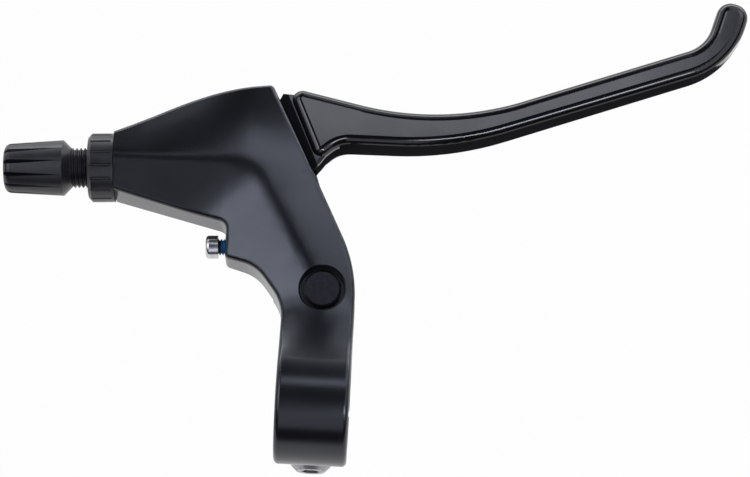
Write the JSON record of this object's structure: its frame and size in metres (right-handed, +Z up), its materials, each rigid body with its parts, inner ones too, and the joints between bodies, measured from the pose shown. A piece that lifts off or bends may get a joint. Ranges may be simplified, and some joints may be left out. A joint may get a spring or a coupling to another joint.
{
  "type": "bicycle brake lever",
  "caption": "Right-hand flat-bar brake lever: cast bracket with bar clamp, swinging blade, cable anchor, barrel adjuster with lock ring and reach screw.",
  "frame": {"origin": "centre of the handlebar clamp's bore", "axes": "+X along the handlebar towards the blade's tip, +Y forward away from the rider, +Z up"},
  "size_m": [0.1831, 0.1223, 0.037],
  "materials": {
    "bracket_paint": "satin black paint on die-cast aluminium",
    "blade_paint": "semi-gloss black paint on forged aluminium",
    "axle_steel": "blackened steel",
    "clip_steel": "spring steel",
    "bush_resin": "moulded bearing resin",
    "anchor_brass": "turned brass",
    "barrel_resin": "moulded black resin",
    "ring_resin": "moulded black resin",
    "seat_steel": "plated steel",
    "screw_steel": "bright zinc-plated steel",
    "bolt_steel": "zinc-plated steel"
  },
  "bodies": {
    "bracket": {"bracket": "bracket_paint", "clamp_bolt": "bolt_steel", "pivot_axle": "axle_steel", "axle_clip": "clip_steel"},
    "lever": {"lever_blade": "blade_paint", "upper_bush": "bush_resin", "lower_bush": "bush_resin"},
    "anchor": {"cable_anchor": "anchor_brass"},
    "casing_end": {"casing_seat": "seat_steel"},
    "adjuster": {"adjuster_barrel": "barrel_resin"},
    "lock_ring": {"adjuster_lock_ring": "ring_resin"},
    "reach_screw": {"reach_screw": "screw_steel"}
  },
  "joints": [
    {"name": "lever_pivot", "type": "hinge", "parent": "bracket", "child": "lever", "pos_m": [0.0008, 0.0265, 0], "axis": [0, 0, -1], "range_deg": [0, 30]},
    {"name": "anchor_swivel", "type": "hinge", "parent": "lever", "child": "anchor", "pos_m": [-0.0112, 0.05883, 0], "axis": [0, 0, 1], "range_deg": [-10, 40]},
    {"name": "adjuster_advance", "type": "slide", "parent": "bracket", "child": "casing_end", "axis": [-0.9981, -0.061, 0], "range_m": [-0.0035, 0.006]},
    {"name": "adjuster_turn", "type": "hinge", "parent": "casing_end", "child": "adjuster", "pos_m": [-0.07538, 0.0549, 0], "axis": [-0.9981, -0.061, 0], "continuous": true},
    {"name": "lock_ring_turn", "type": "hinge", "parent": "bracket", "child": "lock_ring", "pos_m": [-0.05539, 0.05613, 0], "axis": [-0.9981, -0.061, 0], "continuous": true},
    {"name": "reach_screw_turn", "type": "hinge", "parent": "bracket", "child": "reach_screw", "pos_m": [-0.0236, 0.03753, 0], "axis": [-0.9981, -0.061, 0], "continuous": true}
  ],
  "couplings": [
    {"joint": "adjuster_turn", "follows": "adjuster_advance", "rad_per_m": 6283.2}
  ]
}
